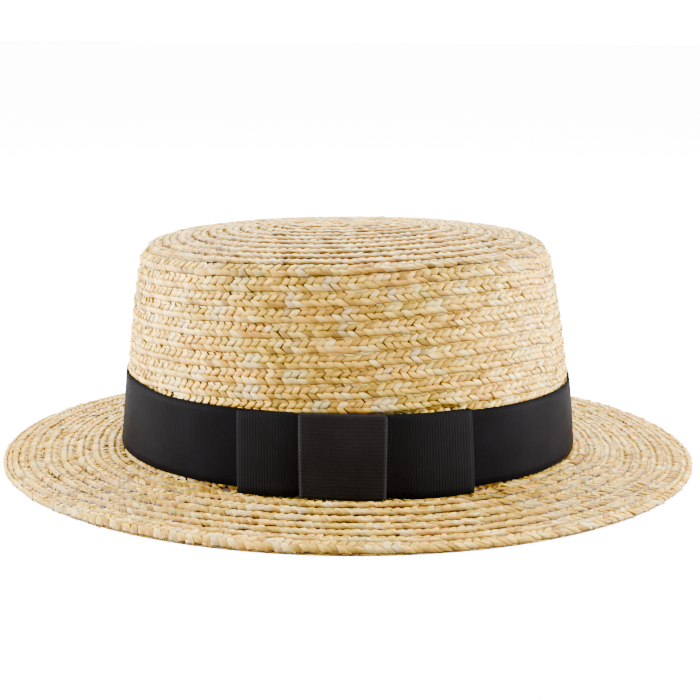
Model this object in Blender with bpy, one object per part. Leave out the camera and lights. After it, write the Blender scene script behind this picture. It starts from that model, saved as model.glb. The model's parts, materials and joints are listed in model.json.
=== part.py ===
"""A straw boater hat: an oval crown with a nearly flat tip, a level brim of sewn plait, a ribbon and a flat bow.

Metres, +Z up. The hat rests on the rim of its brim at z = 0, with the rim's middle at the origin.
Worn, it faces -X, and the bow is on the wearer's left, at -Y.
"""

import math

import bmesh
import bpy

# Crown, outside
CROWN_LENGTH = 0.200
CROWN_WIDTH = 0.168
CROWN_HEIGHT = 0.0915
CROWN_TAPER = 0.0112
CROWN_BULGE = 0.00196
CROWN_CORNER = 0.0100
TIP_DOME = 0.0060
CROWN_SQUARENESS = 2.2

# The crown was blocked a little askew: its foot and top lie to either side of the rim's middle
FOOT_SHIFT = 0.0007
TOP_SHIFT = -0.0019
TOP_TILT = 0.0108

# Brim
BRIM_WIDTH = 0.0544
BRIM_DROP = 0.0043
BRIM_SQUARENESS = 2.0
EDGE_THICKNESS = 0.0025
EDGE_LAND = 0.0015
COLLAR_HEIGHT = 0.0081

# Plait
STRAW_WALL = 0.0020
CROWN_PITCH = 0.00621
TIP_PITCH = 0.0069
BRIM_PITCH = 0.0069
EDGE_ROW = 0.0050
ROW_STEP = 0.0007

# Ribbon and bow
RIBBON_WIDTH = 0.0327
RIBBON_THICKNESS = 0.0010
RIBBON_LIFT = 0.0012
BOW_MIDDLE = -0.0017
BOW_RIBBON_WIDTH = 0.0336
BOW_DROP = 0.0006
LOOP_PUFF = 0.0012
FRONT_LOOP = 0.0247
BACK_LOOP = 0.0337
KNOT_WIDTH = 0.0345
KNOT_SLANT = 0.0012
KNOT_CROWN = 0.0004
PINCH_RUN = 0.0012

# Between pieces that touch on the real hat
GAP = 0.0003

# Facets
SIDES = 56
WALL_STEPS = 24
CORNER_STEPS = 10
TIP_STEPS = 12
INNER_WALL_RINGS = 4
INNER_CORNER_RINGS = 3
INNER_TIP_RINGS = 3
RIBBON_RINGS = 3
LOOP_COLUMNS = 2
HELD_COLUMNS = 4
BEND_COLUMNS = 5
KNOT_STATIONS = 7

# The brim's upper side from the foot of the crown to the rim, in shares of its width and its drop
BRIM_SECTION = (
    # width, drop
    (0.000, 0.000),
    (0.072, 0.012),
    (0.191, 0.047),
    (0.311, 0.151),
    (0.430, 0.360),
    (0.550, 0.465),
    (0.669, 0.535),
    (0.789, 0.558),
    (0.908, 0.674),
    (1.000, 1.000),
)

# The knot's wrap round the loops from its upper end at the back, in shares of its depth, its height and its bow
KNOT_SECTION = (
    # depth, height, bow
    (0.00, 1.00, 0.0),
    (0.88, 1.00, 0.0),
    (0.97, 0.98, 0.0),
    (1.00, 0.94, 0.0),
    (1.00, 0.75, 0.8),
    (1.00, 0.50, 1.0),
    (1.00, 0.25, 0.8),
    (1.00, 0.06, 0.0),
    (0.97, 0.02, 0.0),
    (0.88, 0.00, 0.0),
    (0.00, 0.00, 0.0),
)

ROOT_HEIGHT = EDGE_THICKNESS + BRIM_DROP

# How far each layer stands out from the wall's mean outer side
RIBBON_INNER = ROW_STEP / 2 + GAP
RIBBON_OUTER = RIBBON_INNER + RIBBON_THICKNESS
LOOPS_BACK = RIBBON_OUTER + GAP
LOOPS_FRONT = LOOPS_BACK + 2 * RIBBON_THICKNESS + LOOP_PUFF
KNOT_FRONT = LOOPS_FRONT + GAP + RIBBON_THICKNESS

STRAW = (0.79, 0.63, 0.38, 1)
PALE_STRAW = (0.82, 0.68, 0.44, 1)
BLACK = (0.012, 0.012, 0.013, 1)


def mix(low, high, share):
    return low + (high - low) * share


def wall_offset(height):
    """How far the wall's mean outer side stands out from its foot, at a height over the brim's root."""
    share = height / CROWN_HEIGHT
    return 4 * CROWN_BULGE * share * (1 - share) - CROWN_TAPER * share


def superellipse(angle, half_x, half_y, squareness):
    across, along = math.cos(angle), math.sin(angle)
    x = half_x * math.copysign(abs(across) ** (2 / squareness), across)
    y = half_y * math.copysign(abs(along) ** (2 / squareness), along)
    return x, y


def hat_point(angle, offset, height):
    """A point at an angle round the hat, from its offset from the wall's foot and its height over the brim's root."""
    rise = max(height, 0) / CROWN_HEIGHT
    reach = max(offset, 0) / BRIM_WIDTH
    squareness = mix(CROWN_SQUARENESS, BRIM_SQUARENESS, reach)
    x, y = superellipse(angle, CROWN_LENGTH / 2 + offset, CROWN_WIDTH / 2 + offset, squareness)
    x += mix(FOOT_SHIFT, TOP_SHIFT, rise) * (1 - reach)
    return x, y, ROOT_HEIGHT + height + TOP_TILT * x * rise


def hat_ring(offset, height):
    return [hat_point(math.tau * i / SIDES, offset, height) for i in range(SIDES)]


def crown_path():
    """The mean outer side as (offset, height), from the middle of the tip outwards and down to the brim's root."""
    near_top = CROWN_HEIGHT - CROWN_CORNER
    small = CROWN_HEIGHT / 1000
    lean = math.atan((wall_offset(near_top) - wall_offset(near_top + small)) / small)
    wall_top = CROWN_HEIGHT - CROWN_CORNER * (1 - math.sin(lean))
    middle_offset = wall_offset(wall_top) - CROWN_CORNER * math.cos(lean)
    dome_slope = math.atan(2 * TIP_DOME / (CROWN_WIDTH / 2 + middle_offset))

    def corner_point(angle):
        return middle_offset + CROWN_CORNER * math.cos(angle), near_top + CROWN_CORNER * math.sin(angle)

    tip_edge = corner_point(math.pi / 2 - dome_slope)
    path = []
    for i in range(TIP_STEPS):
        share = i / TIP_STEPS
        path.append((mix(-CROWN_WIDTH / 2, tip_edge[0], share), tip_edge[1] + TIP_DOME * (1 - share**2)))
    for i in range(CORNER_STEPS):
        path.append(corner_point(mix(math.pi / 2 - dome_slope, lean, i / CORNER_STEPS)))
    for i in range(WALL_STEPS + 1):
        height = mix(wall_top, 0, i / WALL_STEPS)
        path.append((wall_offset(height), height))
    return path


def brim_path():
    """The brim's mean upper side as (offset, height), from its root to the rim."""
    return [(width * BRIM_WIDTH, -drop * BRIM_DROP) for width, drop in BRIM_SECTION]


def path_length(path):
    return sum(math.dist(a, b) for a, b in zip(path, path[1:]))


def path_point(path, distance, out=0.0):
    """The point at a distance along a path, moved out to the side where the hat's outer face lies."""
    for (x0, z0), (x1, z1) in zip(path, path[1:]):
        step = math.dist((x0, z0), (x1, z1))
        if distance <= step or (x1, z1) == path[-1]:
            share = distance / step
            along_x, along_z = (x1 - x0) / step, (z1 - z0) / step
            return mix(x0, x1, share) - out * along_z, mix(z0, z1, share) + out * along_x
        distance -= step
    return path[-1]


def crown_edges(path):
    """Where the plait's lower edges lie down the crown: closer together on the wall than on the tip."""
    seam = path_length(path) - COLLAR_HEIGHT
    shoulder = path_length(path[: TIP_STEPS + CORNER_STEPS // 2 + 1])
    wall_rows = int((seam - shoulder) / CROWN_PITCH)
    wall_top = seam - CROWN_PITCH * wall_rows
    tip_rows = int(wall_top / TIP_PITCH - 0.5)
    edges = [wall_top - TIP_PITCH * (tip_rows - i) for i in range(tip_rows)]
    return edges + [seam - CROWN_PITCH * (wall_rows - i) for i in range(wall_rows + 1)]


def plait_rows(path, edges):
    """Each row starts tucked under the row above it and ends standing over the row below."""
    points = []
    for start, end in zip(edges, edges[1:]):
        points.append(path_point(path, start, -ROW_STEP / 2))
        points.append(path_point(path, end, ROW_STEP / 2))
    return points


def loft(rings, closed=False):
    """Skins a row of rings. A closed one joins its last ring to its first, and any other is capped at both ends."""
    mesh = bmesh.new()
    made = [[mesh.verts.new(point) for point in ring] for ring in rings]
    pairs = list(zip(made, made[1:]))
    if closed:
        pairs.append((made[-1], made[0]))
    else:
        mesh.faces.new(made[0])
        mesh.faces.new(made[-1])
    for near, far in pairs:
        count = len(near)
        for i in range(count):
            j = (i + 1) % count
            mesh.faces.new((near[i], near[j], far[j], far[i]))
    bmesh.ops.recalc_face_normals(mesh, faces=mesh.faces)
    return mesh


def material(name, colour, roughness):
    made = bpy.data.materials.new(name)
    made.use_nodes = True
    shader = made.node_tree.nodes["Principled BSDF"]
    shader.inputs["Base Color"].default_value = colour
    shader.inputs["Roughness"].default_value = roughness
    shader.inputs["Metallic"].default_value = 0.0
    made.diffuse_color = colour
    return made


def add_piece(name, mesh, colour, roughness, parts):
    data = bpy.data.meshes.new(name)
    mesh.to_mesh(data)
    mesh.free()
    data.materials.append(material(name + "_finish", colour, roughness))
    data.shade_smooth()
    data.set_sharp_from_angle(angle=math.radians(30))
    piece = bpy.data.objects.new(name, data)
    parts.objects.link(piece)
    return piece


def crown(parts):
    """The tip and the wall: rows of plait outside, and a smooth inside."""
    path = crown_path()
    edges = crown_edges(path)
    outside = [path_point(path, TIP_PITCH / 4, ROW_STEP / 2)]
    outside.append(path_point(path, edges[0], ROW_STEP / 2))
    outside += plait_rows(path, edges)
    corner_start = path_length(path[: TIP_STEPS + 1])
    corner_end = path_length(path[: TIP_STEPS + CORNER_STEPS + 1])
    inner_stops = [mix(edges[-1], corner_end, i / INNER_WALL_RINGS) for i in range(INNER_WALL_RINGS)]
    inner_stops += [mix(corner_end, corner_start, i / INNER_CORNER_RINGS) for i in range(INNER_CORNER_RINGS)]
    inner_stops += [mix(corner_start, TIP_PITCH, i / INNER_TIP_RINGS) for i in range(INNER_TIP_RINGS + 1)]
    inside = [path_point(path, stop, -STRAW_WALL) for stop in inner_stops]
    rings = [hat_ring(*point) for point in outside + inside]
    add_piece("crown", loft(rings), STRAW, 0.5, parts)


def brim(parts):
    """Rows of plait from the collar under the crown out to the turned-down rim."""
    path = brim_path()
    length = path_length(path)
    rows = int((length - EDGE_ROW) / BRIM_PITCH - 0.5)
    edges = [0.0]
    edges += [length - EDGE_ROW - BRIM_PITCH * (rows - i) for i in range(rows + 1)]
    edges.append(length)
    collar_top = COLLAR_HEIGHT - GAP
    outside = [(wall_offset(collar_top), collar_top)]
    outside += plait_rows(path, edges)
    rim = [
        (BRIM_WIDTH, -ROOT_HEIGHT),
        (BRIM_WIDTH - EDGE_LAND, -ROOT_HEIGHT),
    ]
    under = [path_point(path, edge, -STRAW_WALL) for edge in reversed(edges[1:-1])]
    bend = [
        (STRAW_WALL / 4, -STRAW_WALL),
        (-STRAW_WALL, -STRAW_WALL / 4),
        (wall_offset(collar_top) - STRAW_WALL, collar_top),
    ]
    rings = [hat_ring(*point) for point in outside + rim + under + bend]
    add_piece("brim", loft(rings, closed=True), PALE_STRAW, 0.5, parts)


def hat_band(parts):
    """The ribbon, drawn tight round the foot of the wall."""
    heights = [RIBBON_LIFT + RIBBON_WIDTH * i / RIBBON_RINGS for i in range(RIBBON_RINGS + 1)]
    section = [(wall_offset(height) + RIBBON_OUTER, height) for height in heights]
    section += [(wall_offset(height) + RIBBON_INNER, height) for height in reversed(heights)]
    add_piece("hat_band", loft([hat_ring(*point) for point in section], closed=True), BLACK, 0.55, parts)


def bow_point(x, height, out):
    """A point in front of the wall at -Y, from its place along the wall, its height and how far it stands out."""
    across = abs(x) / (CROWN_LENGTH / 2)
    turn = math.acos(across ** (CROWN_SQUARENESS / 2))
    angle = -turn if x > 0 else turn - math.pi
    return hat_point(angle, wall_offset(height) + out, height)


def bow_heights():
    bottom = RIBBON_LIFT - BOW_DROP
    return bottom, bottom + BOW_RIBBON_WIDTH


def layer_places(first, last):
    """Where a layer of the loops has its columns, each with whether the knot holds it."""
    held_from = BOW_MIDDLE - KNOT_WIDTH / 2 - GAP
    held_to = BOW_MIDDLE + KNOT_WIDTH / 2 + GAP
    front_loop = [mix(first, held_from - PINCH_RUN, i / LOOP_COLUMNS) for i in range(1, LOOP_COLUMNS + 1)]
    held = [mix(held_from, held_to, i / HELD_COLUMNS) for i in range(HELD_COLUMNS + 1)]
    back_loop = [mix(held_to + PINCH_RUN, last, i / LOOP_COLUMNS) for i in range(LOOP_COLUMNS)]
    free = [(place, False) for place in front_loop], [(place, False) for place in back_loop]
    return free[0] + [(place, True) for place in held] + free[1]


def loop_outline(inset):
    """The flattened ring of ribbon seen from above, drawn in by an inset: place along the wall, stand-off, held."""
    radius = (LOOPS_FRONT - LOOPS_BACK) / 2
    middle = (LOOPS_FRONT + LOOPS_BACK) / 2
    first = BOW_MIDDLE - KNOT_WIDTH / 2 - FRONT_LOOP + radius
    last = BOW_MIDDLE + KNOT_WIDTH / 2 + BACK_LOOP - radius
    layer = layer_places(first, last)

    def bend(end, facing):
        turns = [math.pi * (i / BEND_COLUMNS - 0.5) for i in range(BEND_COLUMNS + 1)]
        reach = radius - inset
        return [
            (end + facing * reach * math.cos(turn), middle + facing * reach * math.sin(turn), False)
            for turn in turns
        ]

    outline = [(place, LOOPS_BACK + inset, held) for place, held in layer]
    outline += bend(last, 1)
    outline += [(place, LOOPS_FRONT - inset, held) for place, held in reversed(layer)]
    outline += bend(first, -1)
    return outline


def bow_loops(parts):
    """One ribbon folded to two flat loops, pinched where the knot wraps it."""
    bottom, top = bow_heights()

    def ring(inset, share):
        points = []
        for place, out, held in loop_outline(inset):
            pinch = (RIBBON_THICKNESS + GAP) * held
            points.append(bow_point(place, mix(bottom + pinch, top - pinch, share), out))
        return points

    shares = [i / RIBBON_RINGS for i in range(RIBBON_RINGS + 1)]
    rings = [ring(0, share) for share in shares]
    rings += [ring(RIBBON_THICKNESS, share) for share in reversed(shares)]
    add_piece("bow_loops", loft(rings, closed=True), BLACK, 0.55, parts)


def bow_knot(parts):
    """The short ribbon wrapped over the front, the top and the bottom of the loops."""
    bottom, top = bow_heights()
    depth = KNOT_FRONT - LOOPS_BACK

    def section(inset):
        points = []
        for deep, high, crowned in KNOT_SECTION:
            out = LOOPS_BACK + deep * (depth - inset) + crowned * KNOT_CROWN
            points.append((out, mix(bottom + inset, top - inset, high), high))
        return points

    outline = section(0) + section(RIBBON_THICKNESS)[::-1]
    rings = []
    for i in range(KNOT_STATIONS):
        share = i / (KNOT_STATIONS - 1)
        ring = []
        for out, height, high in outline:
            front = BOW_MIDDLE - KNOT_WIDTH / 2
            back = BOW_MIDDLE + KNOT_WIDTH / 2 - KNOT_SLANT * (1 - high)
            ring.append(bow_point(mix(front, back, share), height, out))
        rings.append(ring)
    add_piece("bow_knot", loft(rings), BLACK, 0.6, parts)


def main():
    for old in list(bpy.data.objects):
        bpy.data.objects.remove(old)
    parts = bpy.data.collections.new("straw_boater_hat")
    bpy.context.scene.collection.children.link(parts)
    crown(parts)
    brim(parts)
    hat_band(parts)
    bow_loops(parts)
    bow_knot(parts)


main()
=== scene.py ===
import json
import math

import bpy
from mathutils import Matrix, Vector

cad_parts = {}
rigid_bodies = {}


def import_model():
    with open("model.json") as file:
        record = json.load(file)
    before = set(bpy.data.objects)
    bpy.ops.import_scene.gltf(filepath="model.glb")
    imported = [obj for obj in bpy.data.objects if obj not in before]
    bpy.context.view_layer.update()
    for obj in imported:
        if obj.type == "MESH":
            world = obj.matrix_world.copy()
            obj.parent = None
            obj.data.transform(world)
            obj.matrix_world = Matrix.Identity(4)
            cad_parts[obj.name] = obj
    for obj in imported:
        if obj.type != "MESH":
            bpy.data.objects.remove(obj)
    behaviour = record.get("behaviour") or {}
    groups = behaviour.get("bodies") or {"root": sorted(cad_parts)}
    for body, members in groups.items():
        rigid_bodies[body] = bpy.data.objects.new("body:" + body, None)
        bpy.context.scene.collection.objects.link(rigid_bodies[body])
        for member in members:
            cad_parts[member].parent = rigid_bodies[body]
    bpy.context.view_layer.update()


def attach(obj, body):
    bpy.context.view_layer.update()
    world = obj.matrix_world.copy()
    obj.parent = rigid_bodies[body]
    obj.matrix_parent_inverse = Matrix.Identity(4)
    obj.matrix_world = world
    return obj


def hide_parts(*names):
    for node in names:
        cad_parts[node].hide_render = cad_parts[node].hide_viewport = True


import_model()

# Crown and brim, as the solids have them
CROWN_LENGTH = 0.200
CROWN_WIDTH = 0.168
CROWN_HEIGHT = 0.0915
CROWN_TAPER = 0.0112
CROWN_BULGE = 0.00196
CROWN_CORNER = 0.0100
TIP_DOME = 0.0060
CROWN_SQUARENESS = 2.2
FOOT_SHIFT = 0.0007
TOP_SHIFT = -0.0019
TOP_TILT = 0.0108
BRIM_WIDTH = 0.0544
BRIM_DROP = 0.0043
BRIM_SQUARENESS = 2.0
EDGE_THICKNESS = 0.0025
COLLAR_HEIGHT = 0.0081
CROWN_PITCH = 0.00621
TIP_PITCH = 0.0069
BRIM_PITCH = 0.0069
EDGE_ROW = 0.0050
ROOT_HEIGHT = EDGE_THICKNESS + BRIM_DROP

# Ribbon and bow, as the solids have them, in cloth half as thick
RIBBON_WIDTH = 0.0327
RIBBON_LIFT = 0.0012
RIBBON_OUTER = 0.00165
CLOTH = 0.0005
BOW_MIDDLE = -0.0017
BOW_RIBBON_WIDTH = 0.0336
FRONT_LOOP = 0.0247
BACK_LOOP = 0.0337
KNOT_WIDTH = 0.0345
KNOT_SLANT = 0.0012
KNOT_CROWN = 0.0004
KNOT_FRONT = 0.00645
LOOPS_BACK = 0.00195
LOOPS_FRONT = 0.00515

# How the cloth lies: the band flares at the front of the hat, and the bow hangs low, leans out and sags
RIBBON_FLARE = 0.0014
RIBBON_RADIUS = 0.092
SOFT_EDGE = 0.00012
BOW_DROP = 0.0009
BOW_LEAN = 0.0016
BOW_SAG = 0.0007
SAG_REGAINED = 0.8
FOLD_BULGE = 0.35
LOOP_PRESS = 0.0010
LOOP_PRESS_SHARE = 0.35
KNOT_PINCH = 0.0009
PINCH_TUCK = 0.001
PINCH_RUN = 0.004
KNOT_ROLL = 0.0001
BAND_SIDES = 300
CLOTH_STEPS = 10
LOOP_STEPS = 48
KNOT_STEPS = 24

# The third coordinate on each ribbon's cloth, which sets its cloudy shades apart from the others'
BAND_PLY = 0.0
LOOP_PLY = 0.01
KNOT_PLY = 0.02

# Half of the way that the knot's ribbon takes, from behind the loops over their top to its own front
KNOT_SECTION = (
    # share of the depth, share of the height
    (0.000, 1.000),
    (0.550, 1.000),
    (0.800, 1.000),
    (0.930, 0.995),
    (0.985, 0.985),
    (1.000, 0.965),
)
KNOT_FACE = 0.94
KNOT_FACE_STEPS = 12

# Plait: a row's upper edge is tucked low under the row above, and its lower edge stands over the row below
SPLINT_SPACING = 0.0034
ROW_LOW = -0.0009
ROW_HIGH = 0.0005
INNER_LOW = -0.0001
INNER_HIGH = 0.0001
ROW_SQUEEZE = 0.3
ROW_STRETCH = 1.6
ACROSS_STEP = 0.1
TURN_STEPS = 180
TIP_STEPS = 16
CORNER_STEPS = 16
WALL_STEPS = 40

# What no two splints share: their turn, their size and their place vary by these
SWAY = 0.12
FOLD_SWAY = 0.05
UNEVENNESS = 0.32
WANDER = 0.00018

# Metres of plait counted per turn at a piece's start, so that its colours don't repeat another's
START_SHIFT = 3

# Hidden shells under the splints: how deep they lie, and where they stop short of the rim and the floor
SHELL_DEPTH = 0.0011
SHELL_INSIDE = -0.0016
SHELL_POLE = 0.001
SHELL_START = 0.006
SHELL_CORNER = 0.002
SHELL_GAP = 0.0004
RIM_INSET = 0.0012
RING_SIDES = 240
CROWN_SHELL_STEPS = 40
BRIM_SHELL_STEPS = 20

# Turns of each spiral that are laid. The ribbon covers the wall's first ones, and the lining stops short
WALL_START = 2.9
TIP_START = 1.2
TIP_SHORT = 0.45
LINING_SHORT = 1.2
BRIM_TURNS = (-0.56, 7.95)
BRIM_LINING_TURNS = (-0.4, 7.0)

# The edge row goes over the rim and once round, from its cut end left of the bow
RIM_OVERHANG = 0.0019
RIM_SWELL = 0.0003
RIM_SWELL_DROP = 0.0006
PLAIT_END = -46 / 360
PLAIT_ROUND = 1.02
PLAIT_LIFT = 0.0009
PLAIT_LIFT_TURNS = 0.45
EDGE_TUCK = 0.0006
EDGE_REACH = 0.0009

# At the back of the hat the edge row comes out from under the row above it, which sinks there
LAP_TURNS = (0.42, 0.61)
LAP_SINK = 0.0014
LAP_SINK_TURNS = (0.36, 0.60)

# Where the brim's rows start: they run in under the collar, and the bow presses them down, less and less
# over metres from the wall and over degrees to both sides
COLLAR_TUCK = 0.0012
BOW_PRESS = 0.0012
PRESS_RUN = (0.007, 0.011)
PRESS_MIDDLE = 2
PRESS_DEGREES = (30, 36)

# How far from the middle of the tip the sag below comes in fully
DRIFT_FADE = 4 * CROWN_CORNER

# The brim's upper side from the foot of the crown to the rim, in shares of its width and its drop
BRIM_SECTION = (
    # width, drop
    (0.000, 0.000),
    (0.072, 0.012),
    (0.191, 0.047),
    (0.311, 0.151),
    (0.430, 0.360),
    (0.550, 0.465),
    (0.669, 0.535),
    (0.789, 0.558),
    (0.908, 0.674),
    (1.000, 1.000),
)

# How far hand sewing has let the crown's rows sag below an even spiral, by the turn from the bow
CROWN_DRIFT = (
    # degrees, rows
    (-180, 0.52),
    (-110, 0.52),
    (-66, 0.44),
    (-44, 0.30),
    (-22, 0.15),
    (0, 0.00),
    (11, -0.19),
    (22, -0.36),
    (33, -0.41),
    (44, -0.38),
    (55, -0.30),
    (66, 0.00),
    (77, 0.12),
    (110, 0.30),
    (180, 0.52),
)

# The same for the brim's rows, near the crown and near the rim
BRIM_DRIFT = (
    # degrees, inner rows, outer rows
    (-180, 0.00, 0.00),
    (-96, -0.10, 0.00),
    (-82, -0.15, -0.05),
    (-69, 0.00, 0.10),
    (-55, 0.00, 0.00),
    (-41, -0.13, -0.22),
    (-27, -0.15, -0.40),
    (-14, -0.07, -0.42),
    (0, 0.00, -0.25),
    (14, -0.10, 0.10),
    (28, -0.30, 0.15),
    (41, -0.50, 0.00),
    (55, -0.50, 0.00),
    (69, 0.00, 0.25),
    (83, 0.00, 0.17),
    (96, -0.10, 0.00),
    (180, 0.00, 0.00),
)

# How far the ribbon's edges ride above a level line
RIBBON_RIDE = (
    # degrees, upper edge, lower edge
    (-180, 0.0010, 0.0006),
    (-90, 0.0016, 0.0013),
    (-66, 0.0019, 0.0010),
    (-44, 0.0004, 0.0004),
    (-22, 0.0001, 0.0000),
    (0, -0.0009, 0.0000),
    (33, -0.0012, 0.0000),
    (90, -0.0010, 0.0003),
    (180, 0.0010, 0.0006),
)

# The splints that show in a row, from its upper edge to its lower one: slanted patches with level ends
SPLINTS = (
    # kind, middle across the row, shift along it
    ("splint_1_tip", 0.17, 0.0003),
    ("splint_2_leaf", 0.44, 0.0000),
    ("splint_3_foot", 0.80, 0.0004),
)
FOLD_SPLINTS = (("splint_4_fold", 0.50, 0.0),)
INNER_SPLINTS = (("splint_5_lining", 0.28, 0.0), ("splint_6_lining", 0.76, 0.0006))

# The shape of each kind
SPLINT_SHAPES = (
    # kind, lean in degrees, rise across the row, breadth along it, height, lift of its right side, outline
    ("splint_1_tip", -46, 0.0029, 0.0034, 0.00048, 0.00014, "strip"),
    ("splint_2_leaf", 49, 0.0034, 0.0036, 0.00090, 0.00018, "leaf"),
    ("splint_3_foot", -42, 0.0030, 0.0036, 0.00076, -0.00012, "foot"),
    ("splint_4_fold", -14, 0.0020, 0.0042, 0.00030, 0.00006, "strip"),
    ("splint_5_lining", 42, 0.0040, 0.0038, 0.00036, 0.00004, "strip"),
    ("splint_6_lining", -40, 0.0036, 0.0038, 0.00040, 0.00004, "strip"),
)

# Outlines from tail to head, the section across them, and how far their fibre is counted from tail to head.
# The straw is darkened by painted shade where that count nears -1 or 1, at the ends of a leaf and a foot but
# not of a strip
OUTLINES = {
    # share of the rise, share of the breadth, share of the height
    "leaf": (
        (-0.50, 0.96, -0.80),
        (-0.34, 1.00, 0.12),
        (0.00, 1.00, 0.76),
        (0.22, 0.92, 1.00),
        (0.39, 0.66, 0.78),
        (0.50, 0.26, -0.40),
    ),
    "foot": (
        (-0.50, 1.30, -1.10),
        (-0.40, 1.24, 0.20),
        (-0.14, 1.08, 0.66),
        (0.18, 0.96, 1.00),
        (0.38, 0.68, 0.72),
        (0.50, 0.24, -0.60),
    ),
    "strip": ((-0.50, 1.00, -0.70), (-0.30, 1.00, 0.80), (0.30, 1.00, 0.90), (0.50, 1.00, -0.70)),
}
SECTIONS = {
    # share of the half breadth, drop as a share of the height
    "leaf": ((-1.00, -1.40), (-0.84, -0.26), (0.00, 0.08), (0.84, -0.26), (1.00, -1.40)),
    "foot": ((-1.00, -1.30), (-0.88, -0.18), (0.00, 0.06), (0.88, -0.18), (1.00, -1.30)),
    "strip": ((-1.00, -1.30), (-0.84, 0.00), (0.84, 0.00), (1.00, -1.30)),
}
FIBRE_RUN = {"leaf": 2.0, "foot": 2.0, "strip": 0.5}
SHARP_TURN = 50

# Studio: place, size and power of each softbox, and the camera
SOFTBOXES = (
    ("left_softbox", (-1.35, 0.02, 0.34), 0.6, 176),
    ("right_softbox", (1.35, 0.02, 0.34), 0.6, 158),
    ("back_softbox", (0.0, 1.0, 1.0), 1.0, 80),
    ("key_softbox", (0.45, -0.42, 1.4), 0.3, 25),
)
ROOM_LIGHT = 0.24
FLOOR_LIGHT = 0.7

# What the camera alone sees of the floor and the room, so bright that both come out white
SWEEP_GLOW = 13.0
ROOM_GLOW = 52.0
FLOOR_HALF = 12.0
CAMERA_PLACE = (0.0007, -0.6481, 0.1939)
CAMERA_PITCH = 12.73
CAMERA_ROLL = 0.37
CAMERA_LENS = 75.45

# Shades of the straw
CROWN_GOLD = (
    (0.00, "#926f24"),
    (0.20, "#b88f28"),
    (0.50, "#cda333"),
    (0.80, "#e1b946"),
    (0.94, "#ead07c"),
    (1.00, "#a2964a"),
)
# The brim is the crown's straw; its golds are a little lighter, as painted light
BRIM_GOLD_AND_PAINTED_LIGHT = (
    (0.00, "#9c7724"),
    (0.20, "#bf962a"),
    (0.50, "#d2a736"),
    (0.80, "#e2ba46"),
    (0.94, "#ead07c"),
    (1.00, "#a89a4c"),
)
PEARL = "#dacb9e"
STAIN = "#c08c50"
# Painted shade along the splints' sides and at their tucked ends
SIDE_PAINTED_SHADE = "#94845c"
END_PAINTED_SHADE = "#43371f"

# Ribbon cloths. The real ribs lie about 0.6 mm apart, too fine to show, so they are drawn wider
# All three are one black cloth: their colours are painted light and shade, lighter on the knot and the loops,
# darkest on the band
GROSGRAINS = (
    # name, rib spacing in metres, depth of the relief, colour, lighter colour
    ("rayon_grosgrain_band", 0.0009, 0.16, "#050404", "#080709"),
    ("rayon_grosgrain_loops", 0.0011, 0.28, "#0d0d0d", "#111011"),
    ("rayon_grosgrain_knot", 0.0015, 0.40, "#131212", "#181717"),
)


def mix(low, high, share):
    return low + (high - low) * share


def clamp(value, low=0.0, high=1.0):
    return min(max(value, low), high)


def smooth_step(low, high, value):
    share = clamp((value - low) / (high - low))
    return share * share * (3 - 2 * share)


def read_table(table, turn, column):
    """A table's column at a turn from the bow, smoothly between its rows."""
    for near, far in zip(table, table[1:]):
        if turn <= far[0]:
            return mix(near[column], far[column], smooth_step(near[0], far[0], turn))
    return table[-1][column]


def turn_of(angle):
    """The turn from the bow in degrees, from -180 to 180."""
    return (math.degrees(angle) + 90 + 180) % 360 - 180


# Shape of the hat

def wall_offset(height):
    share = height / CROWN_HEIGHT
    return 4 * CROWN_BULGE * share * (1 - share) - CROWN_TAPER * share


def hat_point(angle, offset, height):
    """A point at an angle round the hat, offset from the wall's foot, at a height over the brim's root."""
    rise = max(height, 0) / CROWN_HEIGHT
    reach = max(offset, 0) / BRIM_WIDTH
    power = 2 / mix(CROWN_SQUARENESS, BRIM_SQUARENESS, reach)
    across, along = math.cos(angle), math.sin(angle)
    x = (CROWN_LENGTH / 2 + offset) * math.copysign(abs(across) ** power, across)
    y = (CROWN_WIDTH / 2 + offset) * math.copysign(abs(along) ** power, along)
    x += mix(FOOT_SHIFT, TOP_SHIFT, rise) * (1 - reach)
    return Vector((x, y, ROOT_HEIGHT + height + TOP_TILT * x * rise))


def crown_path():
    """The outer side as (offset, height), from the middle of the tip out and down to the brim's root."""
    near_top = CROWN_HEIGHT - CROWN_CORNER
    small = CROWN_HEIGHT / 1000
    lean = math.atan((wall_offset(near_top) - wall_offset(near_top + small)) / small)
    wall_top = CROWN_HEIGHT - CROWN_CORNER * (1 - math.sin(lean))
    middle_offset = wall_offset(wall_top) - CROWN_CORNER * math.cos(lean)
    dome_slope = math.atan(2 * TIP_DOME / (CROWN_WIDTH / 2 + middle_offset))

    def corner_point(angle):
        return middle_offset + CROWN_CORNER * math.cos(angle), near_top + CROWN_CORNER * math.sin(angle)

    tip_edge = corner_point(math.pi / 2 - dome_slope)
    path = []
    for i in range(TIP_STEPS):
        share = i / TIP_STEPS
        path.append((mix(-CROWN_WIDTH / 2, tip_edge[0], share), tip_edge[1] + TIP_DOME * (1 - share**2)))
    for i in range(CORNER_STEPS):
        path.append(corner_point(mix(math.pi / 2 - dome_slope, lean, i / CORNER_STEPS)))
    for i in range(WALL_STEPS + 1):
        height = mix(wall_top, 0, i / WALL_STEPS)
        path.append((wall_offset(height), height))
    return path


def path_length(path):
    return sum(math.dist(a, b) for a, b in zip(path, path[1:]))


def path_point(path, distance, out):
    """The point at a distance along a path, moved out to the side where the hat's outer face lies."""
    for (x0, z0), (x1, z1) in zip(path, path[1:]):
        step = math.dist((x0, z0), (x1, z1))
        if distance <= step or (x1, z1) == path[-1]:
            share = distance / step
            along_x, along_z = (x1 - x0) / step, (z1 - z0) / step
            return mix(x0, x1, share) - out * along_z, mix(z0, z1, share) + out * along_x
        distance -= step
    return path[-1]


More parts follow.
